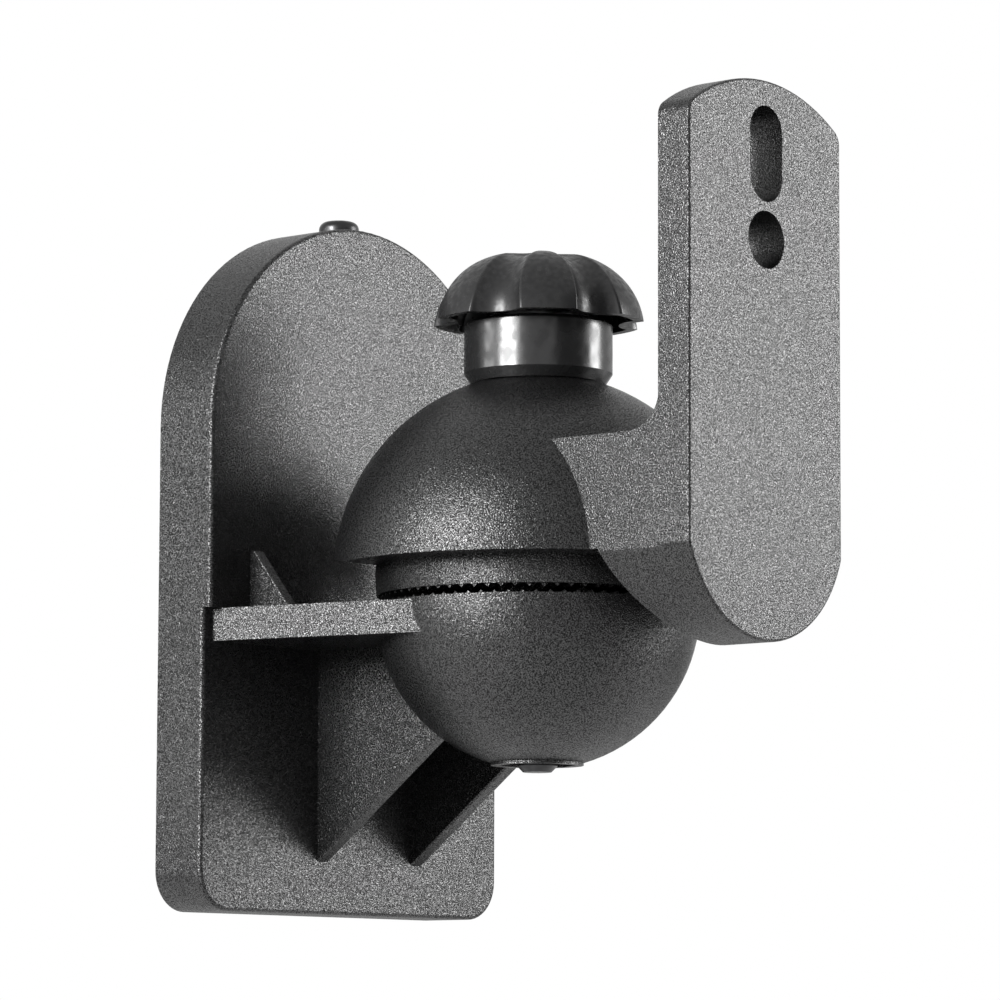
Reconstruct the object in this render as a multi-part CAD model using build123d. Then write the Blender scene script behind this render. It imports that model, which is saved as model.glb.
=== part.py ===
from build123d import *
from math import cos, radians, sin, sqrt, tan
import os

# Tilting and swivelling wall bracket for a small speaker, in millimetres.
# The wall is the plane Y = 0 and the bracket stands out from it towards -Y, with +Z up.
# The origin is the middle of the wall face.
# The swivel parts are drawn about the centre of the lower ball, then moved to the pivot.

# Wall housing
HOUSING_WIDTH = 66.0
HOUSING_HEIGHT = 105.0
UPPER_DEPTH = 10.8
LOWER_DEPTH = 9.3
HOUSING_WALL = 2.5
HOUSING_CORNER = 6.0
FRONT_EDGE_ROUND = 0.6
LEAST_CORNER = 1.0

# Steel wall plate inside the housing
STEEL = 2.0
STEEL_GAP = 0.4
WALL_HOLE_RADIUS = 2.5
WALL_HOLE_SPACING_X = 32.0
WALL_HOLE_SPACING_Z = 52.0
TAB_WIDTH = 12.0
TAB_DROP = 0.9
TONGUE_WIDTH = 18.0
TONGUE_LENGTH = 4.5
TONGUE_RISE = 9.0
LEDGE_THICKNESS = 2.0

# Lock screw through the top of the arch into the tab
LOCK_SCREW_RADIUS = 1.5
LOCK_SCREW_LENGTH = 8.0
LOCK_HEAD_RADIUS = 3.1
LOCK_HEAD_HEIGHT = 2.1
LOCK_SEAT_SINK = 0.2
LOCK_HEAD_ROUND = 1.25
LOCK_SLOT = 0.8
LOCK_SLOT_LENGTH = 4.0
LOCK_SLOT_DEPTH = 0.9

# Ball, dome and teeth, heights from the centre of the lower ball
BALL_RADIUS = 24.0
BALL_FLAT_RADIUS = 6.85
BALL_FLAT_DROP = 0.4
CUP_LAND = 0.0
LAND_GAP = 1.4
DOME_LIFT = 4.45
RIM_LIFT = 1.1
RIM_RELIEF_START = 14.0
RIM_RELIEF_ANGLE = 9.0
SPHERE_GAP = 0.2
DOME_WALL = 6.0
CUP_WALL = 4.0
TOOTH_COUNT = 72
TOOTH_HEIGHT = 0.8
TOOTH_STAND = 0.45
TOOTH_RING_WIDTH = 4.6
TOOTH_INSET = 0.5
TOOTH_END_GAP = 0.2
BOSS_RADIUS = 7.8

# Shelf, gussets and upper ribs that carry the ball
AXIS_HEIGHT = -7.7
DOME_TO_HOUSING = 5.0
SHELF_TOP = -0.25
SHELF_THICKNESS = 4.85
SHELF_SIDE_SETBACK = 2.1
SHELF_BALL_SETBACK = 1.1
SHELF_SEAM_RISE = 1.8
SHELF_SEAM_WIDTH = 0.15
SHELF_SEAM_DEPTH = 0.1
WEB_EDGE_ROUND = 0.35
GUSSET_THICKNESS = 2.5
GUSSET_OFFSETS = (-6.7, 14.3)
GUSSET_DROP = 36.9
GUSSET_INNER_END = (7.7, -15.3)
UPPER_RIB_OFFSET = 23.6
UPPER_RIB_THICKNESS = 2.0
UPPER_RIB_HEIGHT = 8.9
UPPER_RIB_REACH = 8.2
UPPER_RIB_TIP = 0.9

# Arm and speaker plate
ARM_LENGTH = 12.65
PLATE_THICKNESS = 5.65
ARM_WIDTH = 35.3
ARM_TOP = 21.9
ARM_FILLET = 5.6
ARM_SIDE_SETBACK = 0.15
PLATE_TOP = 73.5
PLATE_TOP_RADIUS = 30.0
PLATE_TOP_CORNER = 2.5
PLATE_EDGE_ROUND = 0.4
UNDERSIDE_RADIUS = 18.5
UNDERSIDE_RELIEF_TOP = 1.3
UNDERSIDE_RELIEF_BOTTOM = 3.8
SPEAKER_HOLE_RADIUS = 4.2
SPEAKER_HOLE_HEIGHT = 50.3
SPEAKER_SLOT_WIDTH = 7.5
SPEAKER_SLOT_LENGTH = 14.0
SPEAKER_SLOT_HEIGHT = 62.8
PAD_THICKNESS = 1.7
PAD_MARGIN = 1.8
TILT_SLOT_GAP = 0.5
TILT_SLOT_ANGLE = 11.0

# Clamp bolt, nut, collar, washer and knob
BOLT_RADIUS = 3.0
BOLT_GAP = 0.3
BOLT_END_DROP = 1.0
BOLT_CHAMFER = 0.9
NUT_FLATS = 10.0
NUT_THICKNESS = 5.0
NUT_RECESS = 3.0
NUT_GAP = 0.05
THREAD_GAP = 0.05
HEAD_HEIGHT = 4.0
HEAD_COVER = 1.5
COLLAR_RADIUS = 11.05
COLLAR_RISE = 7.65
COLLAR_CHAMFER_HEIGHT = 1.7
COLLAR_CHAMFER_WIDTH = 1.1
COLLAR_TOP_CHAMFER = 0.5
WASHER_RADIUS = 6.0
WASHER_THICKNESS = 1.0
KNOB_RADIUS = 15.85
KNOB_HEIGHT = 10.2
KNOB_CROWN_RADIUS = 4.0
KNOB_WALL = 1.4
KNOB_HUB_RADIUS = 7.5
KNOB_RIM_DROP = 1.0
LOBE_COUNT = 6
FIRST_FLUTE_ANGLE = 16.0
LOBE_WIDTH = 5.65
FLUTE_RUNOUT = 1.8
FLUTE_START = -25.0
FLUTE_END = 82.0
FLUTE_EDGE_ROUND = 0.5

# Worked-out sizes
DOME_RADIUS = BALL_RADIUS + SPHERE_GAP + DOME_WALL
AXIS_REACH = UPPER_DEPTH + DOME_TO_HOUSING + DOME_RADIUS
ARCH_HEIGHT = HOUSING_HEIGHT / 2 - HOUSING_WIDTH / 2
CORE_LAND = CUP_LAND + LAND_GAP
RIM = DOME_LIFT + RIM_LIFT
SHELF_BOTTOM = SHELF_TOP - SHELF_THICKNESS
BALL_FLAT = -sqrt(BALL_RADIUS**2 - BALL_FLAT_RADIUS**2) - BALL_FLAT_DROP
NUT_TOP = BALL_FLAT + NUT_RECESS + NUT_THICKNESS
PLATE_FRONT = DOME_RADIUS + ARM_LENGTH
PLATE_BACK = PLATE_FRONT - PLATE_THICKNESS
UNDERSIDE_CENTRE = RIM + sqrt(UNDERSIDE_RADIUS**2 - (ARM_WIDTH / 2) ** 2)
UNDERSIDE_LOW = UNDERSIDE_CENTRE - UNDERSIDE_RADIUS
COLLAR_TOP = DOME_LIFT + DOME_RADIUS + COLLAR_RISE
HUB_BOTTOM = COLLAR_TOP + WASHER_THICKNESS
KNOB_RIM = HUB_BOTTOM - KNOB_RIM_DROP
FLUTE_RADIUS = KNOB_RADIUS * sin(radians(180 / LOBE_COUNT)) - LOBE_WIDTH / 2
FLUTE_STANDOFF = FLUTE_RADIUS / 2
CROWN_SIDE = KNOB_RADIUS - KNOB_CROWN_RADIUS
CROWN_ARC_DROP = (CROWN_SIDE**2 - KNOB_HEIGHT**2) / (2 * KNOB_HEIGHT)
CROWN_ARC_RADIUS = KNOB_HEIGHT + CROWN_ARC_DROP
HEAD_BOTTOM = HUB_BOTTOM + HEAD_COVER
BOLT_END = BALL_FLAT - BOLT_END_DROP
CLEAR_BORE = BOLT_RADIUS + BOLT_GAP
TILT_SLOT_WIDTH = 2 * (BOLT_RADIUS + TILT_SLOT_GAP)
LOCK_SCREW_Y = -UPPER_DEPTH / 2
LOCK_SEAT = HOUSING_HEIGHT / 2 - LOCK_SEAT_SINK

PIVOT = Pos(0, -AXIS_REACH, AXIS_HEIGHT)
OVERCUT = 1.0
FAR = 400.0


def above(height):
    """Large block whose bottom face is at the given height."""
    return Pos(0, 0, height) * Box(FAR, FAR, FAR, align=(Align.CENTER, Align.CENTER, Align.MIN))


def below(height):
    """Large block whose top face is at the given height."""
    return Pos(0, 0, height) * Box(FAR, FAR, FAR, align=(Align.CENTER, Align.CENTER, Align.MAX))


def upright(radius, bottom, top):
    """Cylinder on the pivot axis between two heights."""
    base = (Align.CENTER, Align.CENTER, Align.MIN)
    return Pos(0, 0, bottom) * Cylinder(radius, top - bottom, align=base)


def hex_prism(across_flats, bottom, top):
    """Hexagonal prism on the pivot axis between two heights."""
    outline = RegularPolygon(across_flats / 2, 6, major_radius=False)
    return Pos(0, 0, bottom) * extrude(outline, amount=top - bottom)


def profile_block(points, centre_x, thickness):
    """Flat web whose outline is given as (Y, Z) points."""
    outline = make_face(Polyline([(0, y, z) for y, z in points], close=True))
    return Pos(centre_x - thickness / 2, 0, 0) * extrude(outline, amount=thickness, dir=(1, 0, 0))


def wall_outline(inset):
    """Round-topped outline of the housing, moved inwards by the inset."""
    half_width = HOUSING_WIDTH / 2 - inset
    bottom = -HOUSING_HEIGHT / 2 + inset
    corner = max(HOUSING_CORNER - inset, LEAST_CORNER)
    height = ARCH_HEIGHT - bottom
    body = Pos(0, (ARCH_HEIGHT + bottom) / 2) * Rectangle(2 * half_width, height)
    body = fillet(body.vertices().sort_by(Axis.Y)[:2], corner)
    return body + Pos(0, ARCH_HEIGHT) * Circle(half_width)


def slab(outline, start, end):
    """Outline in the XZ plane, extruded from one distance off the wall to another."""
    return extrude(Plane.XZ.offset(start) * outline, amount=end - start)


def housing_shell():
    """Hollow housing: thick above the shelf, a little thinner below it."""
    step = AXIS_HEIGHT + SHELF_TOP
    lower = slab(wall_outline(0), 0, LOWER_DEPTH)
    lower = fillet(lower.faces().sort_by(Axis.Y)[0].edges(), FRONT_EDGE_ROUND)
    upper = slab(wall_outline(0), 0, UPPER_DEPTH) & above(step)
    upper_edges = upper.faces().sort_by(Axis.Y)[0].edges().sort_by(Axis.Z)
    upper = fillet(upper_edges[1:], FRONT_EDGE_ROUND)
    lower_hollow = slab(wall_outline(HOUSING_WALL), 0, LOWER_DEPTH - HOUSING_WALL)
    upper_hollow = slab(wall_outline(HOUSING_WALL), 0, UPPER_DEPTH - HOUSING_WALL)
    upper_hollow &= above(step + HOUSING_WALL)
    return lower + upper - lower_hollow - upper_hollow


def hook_ledge():
    """Rib inside the housing that rests on the tongue of the steel plate."""
    bottom = -HOUSING_HEIGHT / 2 + HOUSING_WALL + TONGUE_RISE
    depth = LOWER_DEPTH - HOUSING_WALL - STEEL - STEEL_GAP
    block = Box(TONGUE_WIDTH, depth, LEDGE_THICKNESS, align=(Align.CENTER, Align.MAX, Align.MIN))
    return Pos(0, -STEEL - STEEL_GAP, bottom) * block


def lock_screw_seat():
    """Flat seat and clearance hole for the lock screw in the top of the arch."""
    seat = Pos(0, LOCK_SCREW_Y, 0) * upright(LOCK_HEAD_RADIUS + BOLT_GAP, LOCK_SEAT, LOCK_SEAT + FAR)
    hole_bottom = LOCK_SEAT - 2 * HOUSING_WALL
    hole = Pos(0, LOCK_SCREW_Y, 0) * upright(LOCK_SCREW_RADIUS + BOLT_GAP, hole_bottom, LOCK_SEAT)
    return seat + hole


def shelf_outline(inset):
    """Plan of the shelf, which narrows from the housing to the ball, with its sides moved inwards."""
    wall_y = AXIS_REACH - LOWER_DEPTH
    wall_half = HOUSING_WIDTH / 2 - SHELF_SIDE_SETBACK - inset
    ball_half = BALL_RADIUS - SHELF_BALL_SETBACK - inset
    points = [(-wall_half, wall_y), (-ball_half, 0), (ball_half, 0), (wall_half, wall_y)]
    return make_face(Polyline(points, close=True))


def shelf():
    """Flat shelf with a fine mould seam along both sides."""
    block = Pos(0, 0, SHELF_BOTTOM) * extrude(shelf_outline(0), amount=SHELF_THICKNESS)
    sides = shelf_outline(0) - shelf_outline(SHELF_SEAM_DEPTH)
    return block - Pos(0, 0, SHELF_BOTTOM + SHELF_SEAM_RISE) * extrude(sides, amount=SHELF_SEAM_WIDTH)


def round_slope(slope):
    """Web with the two long edges of the given sloping face rounded."""
    return fillet(slope.edges().sort_by(SortBy.LENGTH)[-2:], WEB_EDGE_ROUND)


def gusset(offset):
    """Triangular web under the shelf, from the housing to well inside the ball."""
    wall_y = AXIS_REACH - LOWER_DEPTH
    inner_y, inner_z = GUSSET_INNER_END
    points = [
        (wall_y, SHELF_BOTTOM),
        (wall_y, -GUSSET_DROP),
        (inner_y, inner_z),
        (inner_y, SHELF_BOTTOM),
    ]
    web = profile_block(points, offset, GUSSET_THICKNESS)
    return round_slope(web.faces().sort_by(Axis.Z)[0])


def upper_rib(offset):
    """Small triangular rib that stands on the shelf against the housing."""
    wall_y = AXIS_REACH - UPPER_DEPTH
    top = SHELF_TOP + UPPER_RIB_HEIGHT
    points = [
        (wall_y, SHELF_TOP),
        (wall_y, top),
        (wall_y - UPPER_RIB_TIP, top),
        (wall_y - UPPER_RIB_REACH, SHELF_TOP),
    ]
    web = profile_block(points, offset, UPPER_RIB_THICKNESS)
    return round_slope(web.faces().sort_by(Axis.Y)[0])


def tooth_ring(root, crest):
    """Ring of radial teeth; they point up where the crest is above the root."""
    outer = BALL_RADIUS - TOOTH_INSET
    inner = outer - TOOTH_RING_WIDTH
    half_base = inner * tan(radians(180 / TOOTH_COUNT))
    corners = [(inner, -half_base, root), (inner, half_base, root), (inner, 0, crest)]
    section = make_face(Polyline(corners, close=True))
    tooth = extrude(section, amount=TOOTH_RING_WIDTH - TOOTH_END_GAP, dir=(1, 0, 0))
    return [Rot(0, 0, 360 * index / TOOTH_COUNT) * tooth for index in range(TOOTH_COUNT)]


def tooth_groove(bottom, top):
    """Ring-shaped recess in which a ring of teeth stands."""
    outer = BALL_RADIUS - TOOTH_INSET
    inner = outer - TOOTH_RING_WIDTH
    return upright(outer, bottom, top) - upright(inner, bottom, top)


def swivel_hollow():
    """Hollow shared by the cup and the core, round their central bosses."""
    inner = BALL_RADIUS - TOOTH_INSET - TOOTH_RING_WIDTH
    round_space = Sphere(BALL_RADIUS - CUP_WALL) & upright(inner, -FAR / 2, FAR / 2)
    return round_space - upright(BOSS_RADIUS, -FAR / 2, FAR / 2)


def cup():
    """Outer form of the lower ball, with its small flat land underneath."""
    flat_land = upright(BALL_FLAT_RADIUS, BALL_FLAT, 0)
    return (Sphere(BALL_RADIUS) & below(CUP_LAND) & above(BALL_FLAT)) + flat_land


def cup_cuts():
    """Everything taken out of the lower ball."""
    tooth_root = CUP_LAND + TOOTH_STAND - TOOTH_HEIGHT
    bore = upright(CLEAR_BORE, BALL_FLAT - OVERCUT, BALL_RADIUS)
    pocket = hex_prism(NUT_FLATS + 2 * NUT_GAP, BALL_FLAT - OVERCUT, NUT_TOP)
    hollow = swivel_hollow() & above(NUT_TOP + HOUSING_WALL)
    return [bore, pocket, hollow, tooth_groove(tooth_root, BALL_RADIUS)]


def wall_bracket():
    """Housing, shelf, ribs and lower ball, one moulding."""
    tooth_root = CUP_LAND + TOOTH_STAND - TOOTH_HEIGHT
    carrier = cup() + shelf()
    carrier += [gusset(offset) for offset in GUSSET_OFFSETS]
    carrier += [upper_rib(offset) for offset in (-UPPER_RIB_OFFSET, UPPER_RIB_OFFSET)]
    carrier -= cup_cuts()
    carrier += tooth_ring(tooth_root, CUP_LAND + TOOTH_STAND)
    bracket = housing_shell() + hook_ledge() - lock_screw_seat()
    return bracket + PIVOT * carrier


def back_plate():
    """Steel plate screwed to the wall, with a tapped tab above and a hook tongue below."""
    outline = wall_outline(HOUSING_WALL + STEEL_GAP)
    holes = GridLocations(WALL_HOLE_SPACING_X, WALL_HOLE_SPACING_Z, 2, 2) * Circle(WALL_HOLE_RADIUS)
    plate = slab(outline - holes, 0, STEEL)
    tab_top = HOUSING_HEIGHT / 2 - HOUSING_WALL - TAB_DROP - STEEL_GAP
    tab_length = UPPER_DEPTH - HOUSING_WALL - STEEL_GAP
    hung = (Align.CENTER, Align.MAX, Align.MAX)
    tab = Box(TAB_WIDTH, tab_length, STEEL, align=hung)
    plate += Pos(0, 0, tab_top) * tab
    tongue_top = -HOUSING_HEIGHT / 2 + HOUSING_WALL + TONGUE_RISE
    tongue = Box(TONGUE_WIDTH, STEEL + TONGUE_LENGTH - STEEL_GAP, STEEL, align=hung)
    plate += Pos(0, 0, tongue_top) * tongue
    tapped = upright(LOCK_SCREW_RADIUS + THREAD_GAP, tab_top - 2 * STEEL, tab_top + STEEL)
    return plate - Pos(0, LOCK_SCREW_Y, 0) * tapped


def lock_screw():
    """Pan-head screw with a cross slot, standing upright in the arch."""
    shank = upright(LOCK_SCREW_RADIUS, LOCK_SEAT - LOCK_SCREW_LENGTH, LOCK_SEAT)
    head = upright(LOCK_HEAD_RADIUS, LOCK_SEAT, LOCK_SEAT + LOCK_HEAD_HEIGHT)
    head = fillet(head.edges().sort_by(Axis.Z)[-1], LOCK_HEAD_ROUND)
    slot_place = Pos(0, 0, LOCK_SEAT + LOCK_HEAD_HEIGHT - LOCK_SLOT_DEPTH)
    floor = (Align.CENTER, Align.CENTER, Align.MIN)
    slot = Box(LOCK_SLOT_LENGTH, LOCK_SLOT, LOCK_HEAD_HEIGHT, align=floor)
    cross = slot + Rot(0, 0, 90) * slot
    return Pos(0, LOCK_SCREW_Y, 0) * (shank + head - slot_place * cross)


def swivel_core():
    """Upper half of the ball, with teeth below and a round top that the dome tilts on."""
    tooth_root = CORE_LAND - TOOTH_STAND + TOOTH_HEIGHT
    core = Pos(0, 0, DOME_LIFT) * Sphere(BALL_RADIUS) & above(CORE_LAND)
    core -= Pos(0, 0, DOME_LIFT) * swivel_hollow()
    core -= upright(CLEAR_BORE, -FAR / 2, FAR / 2)
    core -= tooth_groove(-BALL_RADIUS, tooth_root)
    half_pitch = Rot(0, 0, 180 / TOOTH_COUNT)
    core += [half_pitch * tooth for tooth in tooth_ring(tooth_root, CORE_LAND - TOOTH_STAND)]
    return PIVOT * core


def plate_outline():
    """Front outline of the speaker plate: round below, shallow arc on top."""
    standing = (Align.CENTER, Align.MIN)
    arc_centre = PLATE_TOP - PLATE_TOP_RADIUS
    top_block = Pos(0, RIM) * Rectangle(ARM_WIDTH, PLATE_TOP - RIM, align=standing)
    top_arc = Pos(0, arc_centre) * Circle(PLATE_TOP_RADIUS)
    skirt = Pos(0, RIM) * Rectangle(ARM_WIDTH, arc_centre - RIM, align=standing)
    upper = (top_block & top_arc) + skirt
    upper = fillet(upper.vertices().group_by(Axis.Y)[-1], PLATE_TOP_CORNER)
    return upper + underside_outline()


def underside_outline():
    """Segment of a circle below the rim level, as wide as the arm at its top."""
    cut = Pos(0, RIM) * Rectangle(ARM_WIDTH + OVERCUT, FAR, align=(Align.CENTER, Align.MAX))
    return (Pos(0, UNDERSIDE_CENTRE) * Circle(UNDERSIDE_RADIUS)) & cut


def arm_fillet():
    """Concave corner between the top of the arm and the back of the plate."""
    corner = Pos(0, -PLATE_BACK, ARM_TOP) * Box(
        ARM_WIDTH, ARM_FILLET, ARM_FILLET, align=(Align.CENTER, Align.MIN, Align.MIN)
    )
    rod = Rot(0, 90, 0) * Cylinder(ARM_FILLET, 2 * ARM_WIDTH)
    return corner - Pos(0, -PLATE_BACK + ARM_FILLET, ARM_TOP + ARM_FILLET) * rod


def underside_relief():
    """Cone round the pivot axis that keeps the underside of the arm clear of the lower ball."""
    top_radius = DOME_RADIUS + UNDERSIDE_RELIEF_TOP
    bottom_radius = DOME_RADIUS + UNDERSIDE_RELIEF_BOTTOM
    height = RIM - UNDERSIDE_LOW + OVERCUT
    hung = (Align.CENTER, Align.CENTER, Align.MAX)
    return Pos(0, 0, RIM) * Cone(bottom_radius, top_radius, height, align=hung)


def rim_relief():
    """Wedge that lifts the rim of the dome towards the wall, to leave room when the plate tips back."""
    end = DOME_RADIUS + OVERCUT
    rise = (end - RIM_RELIEF_START) * tan(radians(RIM_RELIEF_ANGLE))
    points = [(RIM_RELIEF_START, RIM), (end, RIM), (end, RIM + rise)]
    return profile_block(points, 0, 2 * end)


def back_pad():
    """Low pad on the back of the plate, round the hole and the slot."""
    bottom = SPEAKER_HOLE_HEIGHT - SPEAKER_HOLE_RADIUS - PAD_MARGIN
    top = SPEAKER_SLOT_HEIGHT + SPEAKER_SLOT_LENGTH / 2 + PAD_MARGIN
    width = 2 * (max(SPEAKER_HOLE_RADIUS, SPEAKER_SLOT_WIDTH / 2) + PAD_MARGIN)
    outline = Pos(0, (bottom + top) / 2) * SlotOverall(top - bottom, width, rotation=90)
    return slab(outline, PLATE_BACK - PAD_THICKNESS, PLATE_BACK)


def speaker_plate():
    """Upright plate that the speaker is screwed to, with its front edge rounded."""
    plate = slab(plate_outline(), PLATE_BACK, PLATE_FRONT)
    plate = fillet(plate.faces().sort_by(Axis.Y)[0].edges(), PLATE_EDGE_ROUND)
    plate += back_pad()
    hole = Pos(0, SPEAKER_HOLE_HEIGHT) * Circle(SPEAKER_HOLE_RADIUS)
    slot = Pos(0, SPEAKER_SLOT_HEIGHT) * SlotOverall(SPEAKER_SLOT_LENGTH, SPEAKER_SLOT_WIDTH, rotation=90)
    return plate - slab(hole + slot, PLATE_BACK - PAD_THICKNESS - OVERCUT, PLATE_FRONT + OVERCUT)


def speaker_arm():
    """Dome, arm and speaker plate, one moulding."""
    dome_place = Pos(0, 0, DOME_LIFT)
    arm_box = Rectangle(ARM_WIDTH, ARM_TOP - RIM, align=(Align.CENTER, Align.MIN))
    arm = slab(Pos(0, RIM) * arm_box, 0, PLATE_BACK)
    arm += slab(underside_outline(), 0, PLATE_BACK) - underside_relief()
    arm += arm_fillet()
    arm &= Box(ARM_WIDTH - 2 * ARM_SIDE_SETBACK, FAR, FAR)
    arm += dome_place * Sphere(DOME_RADIUS) & above(RIM)
    arm += speaker_plate()
    arm -= rim_relief()
    arm -= dome_place * Sphere(BALL_RADIUS + SPHERE_GAP)
    slot_length = 2 * (DOME_RADIUS * sin(radians(TILT_SLOT_ANGLE)) + TILT_SLOT_WIDTH / 2)
    tilt_slot = extrude(SlotOverall(slot_length, TILT_SLOT_WIDTH, rotation=90), amount=FAR)
    arm -= dome_place * tilt_slot
    return PIVOT * arm


def clamp_collar():
    """Smooth collar whose hollow underside sits on the dome."""
    bottom = DOME_LIFT + sqrt(DOME_RADIUS**2 - (COLLAR_RADIUS - COLLAR_CHAMFER_WIDTH) ** 2)
    collar = upright(COLLAR_RADIUS, bottom, COLLAR_TOP)
    low_edge = collar.edges().sort_by(Axis.Z)[0]
    side = collar.faces().sort_by(Axis.Z)[1]
    collar = chamfer(low_edge, COLLAR_CHAMFER_HEIGHT, COLLAR_CHAMFER_WIDTH, reference=side)
    collar = chamfer(collar.edges().group_by(Axis.Z)[-1], COLLAR_TOP_CHAMFER)
    collar -= Pos(0, 0, DOME_LIFT) * Sphere(DOME_RADIUS + SPHERE_GAP)
    return PIVOT * (collar - upright(CLEAR_BORE, 0, FAR))


def thrust_washer():
    """Steel washer between the collar and the hub of the knob."""
    washer = upright(WASHER_RADIUS, COLLAR_TOP, HUB_BOTTOM)
    return PIVOT * (washer - upright(CLEAR_BORE, 0, FAR))


def crown(shrink):
    """Round body of the knob, made smaller all round by the given wall."""
    arc_radius = CROWN_ARC_RADIUS - shrink
    arc_height = KNOB_RIM - CROWN_ARC_DROP
    diagonal = arc_radius * sin(radians(45))
    arc_start = (KNOB_CROWN_RADIUS + sqrt(arc_radius**2 - CROWN_ARC_DROP**2), 0, KNOB_RIM)
    arc_middle = (KNOB_CROWN_RADIUS + diagonal, 0, arc_height + diagonal)
    arc_end = (KNOB_CROWN_RADIUS, 0, arc_height + arc_radius)
    outline = Polyline(arc_end, (0, 0, arc_height + arc_radius), (0, 0, KNOB_RIM), arc_start)
    outline += ThreePointArc(arc_start, arc_middle, arc_end)
    return revolve(make_face(outline), Axis.Z, 360)


def flute(tube_radius):
    """Curved round-ended cutter for one flute of the knob, in the XZ plane."""
    arc_centre = Vector(KNOB_CROWN_RADIUS, 0, KNOB_RIM - CROWN_ARC_DROP + FLUTE_RUNOUT)
    arc_radius = CROWN_ARC_RADIUS + FLUTE_STANDOFF

    def on_arc(angle):
        reach = arc_radius * cos(radians(angle))
        rise = arc_radius * sin(radians(angle))
        return arc_centre + Vector(reach, 0, rise)

    path = ThreePointArc(on_arc(FLUTE_START), on_arc((FLUTE_START + FLUTE_END) / 2), on_arc(FLUTE_END))
    section = Plane(origin=path @ 0, z_dir=path % 0) * Circle(tube_radius)
    return sweep(section, path) + Pos(*on_arc(FLUTE_END)) * Sphere(tube_radius)


def fluted_crown(shrink):
    """Crown with its flutes cut in, made smaller all round by the given wall."""
    cutter = flute(FLUTE_RADIUS + shrink)
    pitch = 360 / LOBE_COUNT
    cutters = [Rot(0, 0, FIRST_FLUTE_ANGLE + pitch * index) * cutter for index in range(LOBE_COUNT)]
    return crown(shrink) - cutters


def round_creases(body):
    """Crown with the creases on both sides of each flute rounded."""
    low = KNOB_RIM + FLUTE_EDGE_ROUND
    high = KNOB_RIM + KNOB_HEIGHT - FLUTE_EDGE_ROUND
    return fillet(body.edges().filter_by_position(Axis.Z, low, high), FLUTE_EDGE_ROUND)


def knob():
    """Fluted hand knob: thin skirt, solid hub, with the bolt head moulded in."""
    body = round_creases(fluted_crown(0))
    hollow = fluted_crown(KNOB_WALL) - upright(KNOB_HUB_RADIUS, 0, FAR)
    body -= hollow
    body -= upright(KNOB_HUB_RADIUS, 0, HUB_BOTTOM)
    body -= upright(BOLT_RADIUS, 0, HEAD_BOTTOM)
    body -= hex_prism(NUT_FLATS, HEAD_BOTTOM, HEAD_BOTTOM + HEAD_HEIGHT)
    return PIVOT * body


def clamp_bolt():
    """Hex-headed bolt from the knob down through the ball."""
    shank = upright(BOLT_RADIUS, BOLT_END, HEAD_BOTTOM)
    shank = chamfer(shank.edges().sort_by(Axis.Z)[0], BOLT_CHAMFER)
    return PIVOT * (shank + hex_prism(NUT_FLATS, HEAD_BOTTOM, HEAD_BOTTOM + HEAD_HEIGHT))


def captive_nut():
    """Hexagonal nut held in the pocket under the ball."""
    nut = hex_prism(NUT_FLATS, NUT_TOP - NUT_THICKNESS, NUT_TOP)
    return PIVOT * (nut - upright(BOLT_RADIUS + THREAD_GAP, BALL_FLAT, BALL_RADIUS))


NODES = (
    wall_bracket,
    back_plate,
    lock_screw,
    swivel_core,
    speaker_arm,
    clamp_collar,
    thrust_washer,
    knob,
    clamp_bolt,
    captive_nut,
)

os.makedirs("parts", exist_ok=True)
for make in NODES:
    export_step(make(), f"parts/{make.__name__}.step")
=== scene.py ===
import math

import bpy
from mathutils import Matrix, Vector

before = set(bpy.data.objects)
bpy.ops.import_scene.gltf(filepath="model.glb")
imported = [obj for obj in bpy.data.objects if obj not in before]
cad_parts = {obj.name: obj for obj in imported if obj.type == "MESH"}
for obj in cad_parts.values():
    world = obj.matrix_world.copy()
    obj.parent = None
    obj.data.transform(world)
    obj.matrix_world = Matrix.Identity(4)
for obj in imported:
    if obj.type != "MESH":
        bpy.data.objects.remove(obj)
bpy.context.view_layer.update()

# Camera, fitted to the photograph: focal length in pixels of a 1000 pixel frame, angles in degrees
FRAME_PIXELS = 1000
FOCAL_PIXELS = 4803.76
SENSOR_MM = 36.0
CAMERA_YAW = -49.046
CAMERA_PITCH = 6.588
CAMERA_ROLL = 0.208
CAMERA_PLACE = Vector((-0.53732, -0.50489, -0.07339))
NEAREST_SEEN = 0.01

# Middle of the object, that the lamps point at
LAMP_TARGET = Vector((0.0, -0.045, 0.0))

# Lamps: direction from the target, then distance, width and height in metres, power in watts
LAMPS = (
    ("key", (0.77, -0.66, 0.20), 1.2, 0.42, 0.60, 16.5),
    ("left", (-1.0, 0.12, 0.25), 1.1, 0.50, 0.42, 32.0),
    ("back", (-0.76, 0.65, 0.15), 1.2, 0.40, 0.20, 2.2),
)

# Floor
FLOOR_HEIGHT = -0.30
FLOOR_HALF_WIDTH = 12.0
FLOOR_COLOUR = (0.8, 0.8, 0.8, 1)
FLOOR_GLOW = 0.35

# World: its strength for the object, its strength as it is seen, and its colour
WORLD_LIGHT = 0.12
WORLD_WHITE = 1.0
WORLD_COLOUR = (1, 1, 1, 1)

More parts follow.
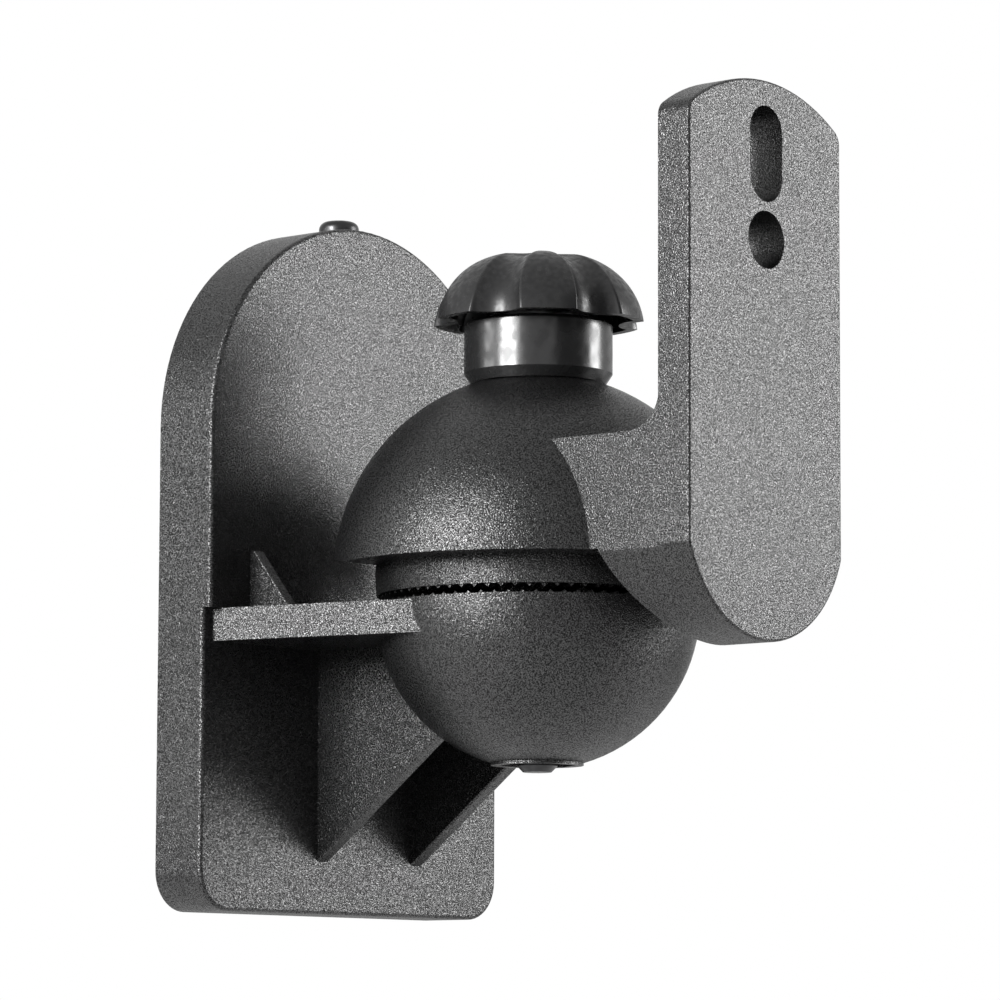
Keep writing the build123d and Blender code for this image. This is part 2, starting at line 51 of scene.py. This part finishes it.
# Finishes: mean brightness and the share by which it varies, mean roughness, size and height of the grain
# in metres, mean shine and the share by which it varies, and 1 for metal
FINISHES = {
    "charcoal_grain_plastic": (0.006, 0.4, 0.27, 0.00016, 0.00007, 0.32, 0.8, 0.0),
    "satin_black_plastic": (0.009, 0.08, 0.33, 0.0006, 0.000008, 0.25, 0.2, 0.0),
    "glossy_black_plastic": (0.009, 0.05, 0.24, 0.0012, 0.000004, 0.4, 0.2, 0.0),
    "zinc_plated_steel": (0.52, 0.06, 0.38, 0.0008, 0.000006, 0.5, 0.2, 1.0),
    "black_oxide_steel": (0.035, 0.1, 0.35, 0.0006, 0.000008, 0.5, 0.2, 1.0),
}

# Pieces that have each finish
DRESSED = {
    "charcoal_grain_plastic": ("wall_bracket", "swivel_core", "speaker_arm"),
    "satin_black_plastic": ("knob",),
    "glossy_black_plastic": ("clamp_collar",),
    "zinc_plated_steel": ("back_plate", "thrust_washer", "captive_nut"),
    "black_oxide_steel": ("clamp_bolt", "lock_screw"),
}

# Red, green and blue of the greys, which are very slightly cold
GREY_TINT = (1.0, 1.0, 1.02)

# Noise values between which nearly all of a noise lies, and the closer ones between which colour varies
NOISE_RANGE = (0.3, 0.7)
COLOUR_RANGE = (0.35, 0.68)

# Specks: their size against the grain, and the share by which roughness falls where they are bright
SPECK_RATIO = 1.3
SPECK_SMOOTHNESS = 0.2

# Clouds in the colour: their size in metres, their detail and the share by which they vary it
CLOUD_SIZE = 0.02
CLOUD_DETAIL = 3.0
CLOUD_SHARE = 0.05

# Shine, which fades where a surface is seen edge on. The facing value is 0 seen square on and 1 seen edge
# on, and a blend of 0.5 keeps it even. The fade starts and ends at two of its values and leaves a share.
FACING_BLEND = 0.5
FADE_START = 0.35
FADE_END = 0.9
EDGE_ON_SHINE = 0.15


def camera_basis():
    """Right, up and backward directions of the camera."""
    yaw = math.radians(CAMERA_YAW)
    pitch = math.radians(CAMERA_PITCH)
    roll = math.radians(CAMERA_ROLL)
    level_right = Vector((math.cos(yaw), math.sin(yaw), 0))
    level_forward = Vector((-math.sin(yaw), math.cos(yaw), 0))
    upright = Vector((0, 0, 1))
    level_up = upright * math.cos(pitch) - level_forward * math.sin(pitch)
    forward = level_forward * math.cos(pitch) + upright * math.sin(pitch)
    right = level_right * math.cos(roll) + level_up * math.sin(roll)
    up = level_up * math.cos(roll) - level_right * math.sin(roll)
    return right, up, -forward


def make_camera():
    """Camera at the photograph's viewpoint."""
    data = bpy.data.cameras.new("camera")
    data.sensor_width = SENSOR_MM
    data.lens = SENSOR_MM * FOCAL_PIXELS / FRAME_PIXELS
    data.clip_start = NEAREST_SEEN
    camera = bpy.data.objects.new("camera", data)
    bpy.context.scene.collection.objects.link(camera)
    turn = Matrix(camera_basis()).transposed().to_4x4()
    camera.matrix_world = Matrix.Translation(CAMERA_PLACE) @ turn
    bpy.context.scene.camera = camera


def new_material(name):
    """Empty node material, and its node tree."""
    material = bpy.data.materials.new(name)
    material.use_nodes = True
    tree = material.node_tree
    tree.nodes.clear()
    return material, tree


def add_node(tree, kind, settings=None, inputs=None):
    """New node with its settings and its unlinked input values."""
    node = tree.nodes.new(kind)
    for key, value in (settings or {}).items():
        setattr(node, key, value)
    for key, value in (inputs or {}).items():
        node.inputs[key].default_value = value
    return node


def noise(tree, place, size, detail):
    """Noise whose blobs are about the given size, in metres."""
    node = add_node(tree, "ShaderNodeTexNoise", inputs={"Scale": 1.0 / size, "Detail": detail})
    tree.links.new(place, node.inputs["Vector"])
    return node.outputs["Fac"]


def spread(tree, value, low, high, to_low, to_high):
    """Value stretched from one range to another, and held inside it."""
    node = add_node(
        tree,
        "ShaderNodeMapRange",
        inputs={"From Min": low, "From Max": high, "To Min": to_low, "To Max": to_high},
    )
    tree.links.new(value, node.inputs["Value"])
    return node.outputs["Result"]


def varied(tree, value, mean, share, noise_range=NOISE_RANGE):
    """Value that rises and falls with a noise, by a share of its mean each way."""
    low, high = noise_range
    return spread(tree, value, low, high, mean * (1 - share), mean * (1 + share))


def times(tree, first, second):
    """Product of two values."""
    node = add_node(tree, "ShaderNodeMath", {"operation": "MULTIPLY"})
    tree.links.new(first, node.inputs[0])
    tree.links.new(second, node.inputs[1])
    return node.outputs[0]


def grey_colour(tree, value):
    """Nearly grey colour from a brightness value."""
    node = add_node(tree, "ShaderNodeCombineColor")
    for channel, factor in zip(("Red", "Green", "Blue"), GREY_TINT):
        scaled = add_node(tree, "ShaderNodeMath", {"operation": "MULTIPLY"}, {1: factor})
        tree.links.new(value, scaled.inputs[0])
        tree.links.new(scaled.outputs[0], node.inputs[channel])
    return node.outputs[0]


def fading(tree, value):
    """Value that fades where the surface is seen edge on."""
    facing = add_node(tree, "ShaderNodeLayerWeight", inputs={"Blend": FACING_BLEND}).outputs["Facing"]
    return times(tree, value, spread(tree, facing, FADE_START, FADE_END, 1.0, EDGE_ON_SHINE))


def surface(tree, shader):
    """Joins a shader to the material's output."""
    output = add_node(tree, "ShaderNodeOutputMaterial")
    tree.links.new(shader, output.inputs["Surface"])


def textured_material(name, brightness, contrast, roughness, grain, height, shine, sparkle, metallic):
    """Plastic or metal with a fine grain in its colour, roughness, shine and height."""
    material, tree = new_material(name)
    place = add_node(tree, "ShaderNodeTexCoord").outputs["Object"]
    bumps = noise(tree, place, grain, 0.0)
    specks = noise(tree, place, grain * SPECK_RATIO, 0.0)
    clouds = noise(tree, place, CLOUD_SIZE, CLOUD_DETAIL)
    speck_brightness = varied(tree, specks, brightness, contrast, COLOUR_RANGE)
    colour = grey_colour(tree, times(tree, speck_brightness, varied(tree, clouds, 1.0, CLOUD_SHARE)))
    speck_roughness = varied(tree, specks, roughness, -SPECK_SMOOTHNESS)
    speck_shine = fading(tree, varied(tree, specks, shine, sparkle))
    bump = add_node(tree, "ShaderNodeBump", inputs={"Strength": 1.0, "Distance": height})
    tree.links.new(bumps, bump.inputs["Height"])
    shader = add_node(tree, "ShaderNodeBsdfPrincipled", inputs={"Metallic": metallic})
    tree.links.new(speck_shine, shader.inputs["Specular IOR Level"])
    tree.links.new(colour, shader.inputs["Base Color"])
    tree.links.new(speck_roughness, shader.inputs["Roughness"])
    tree.links.new(bump.outputs["Normal"], shader.inputs["Normal"])
    surface(tree, shader.outputs["BSDF"])
    return material


def dress_pieces():
    """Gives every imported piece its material."""
    for name, finish in FINISHES.items():
        material = textured_material(name, *finish)
        for node in DRESSED[name]:
            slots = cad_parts[node].data.materials
            slots.clear()
            slots.append(material)


def make_lamps():
    """Soft rectangular lamps round the object."""
    for name, direction, distance, width, height, power in LAMPS:
        data = bpy.data.lights.new(name, "AREA")
        data.shape = "RECTANGLE"
        data.size = width
        data.size_y = height
        data.energy = power
        lamp = bpy.data.objects.new(name, data)
        bpy.context.scene.collection.objects.link(lamp)
        aim = Vector(direction).normalized()
        lamp.location = LAMP_TARGET + aim * distance
        lamp.rotation_euler = aim.to_track_quat("Z", "Y").to_euler()


def seen_directly(tree):
    """1 where the camera, a mirror or glass sees the surface, else 0."""
    path = add_node(tree, "ShaderNodeLightPath")
    seen = path.outputs["Is Camera Ray"]
    for other in ("Is Glossy Ray", "Is Transmission Ray"):
        node = add_node(tree, "ShaderNodeMath", {"operation": "MAXIMUM"})
        tree.links.new(seen, node.inputs[0])
        tree.links.new(path.outputs[other], node.inputs[1])
        seen = node.outputs[0]
    return seen


def make_world():
    """Plain light from all round, seen as white."""
    world = bpy.data.worlds.new("studio")
    bpy.context.scene.world = world
    world.use_nodes = True
    tree = world.node_tree
    tree.nodes.clear()
    background = add_node(tree, "ShaderNodeBackground", inputs={"Color": WORLD_COLOUR})
    strength = spread(tree, seen_directly(tree), 0.0, 1.0, WORLD_LIGHT, WORLD_WHITE)
    tree.links.new(strength, background.inputs["Strength"])
    output = add_node(tree, "ShaderNodeOutputWorld")
    tree.links.new(background.outputs[0], output.inputs["Surface"])


def floor_material():
    """Pale matt floor that is seen a little lighter than the lamps make it."""
    material, tree = new_material("pale_floor")
    matt = add_node(tree, "ShaderNodeBsdfDiffuse", inputs={"Color": FLOOR_COLOUR})
    glow = add_node(tree, "ShaderNodeEmission")
    strength = spread(tree, seen_directly(tree), 0.0, 1.0, 0.0, FLOOR_GLOW)
    tree.links.new(strength, glow.inputs["Strength"])
    both = add_node(tree, "ShaderNodeAddShader")
    tree.links.new(matt.outputs[0], both.inputs[0])
    tree.links.new(glow.outputs[0], both.inputs[1])
    surface(tree, both.outputs[0])
    return material


def make_floor():
    """Wide floor some way below the bracket, which hangs in the air as on its wall."""
    half = FLOOR_HALF_WIDTH
    outline = ((-half, -half), (half, -half), (half, half), (-half, half))
    corners = [(x, y, FLOOR_HEIGHT) for x, y in outline]
    mesh = bpy.data.meshes.new("floor")
    mesh.from_pydata(corners, [], [(0, 1, 2, 3)])
    mesh.materials.append(floor_material())
    floor = bpy.data.objects.new("floor", mesh)
    bpy.context.scene.collection.objects.link(floor)


bpy.context.scene.view_settings.view_transform = "Standard"
make_camera()
make_world()
make_floor()
make_lamps()
dress_pieces()
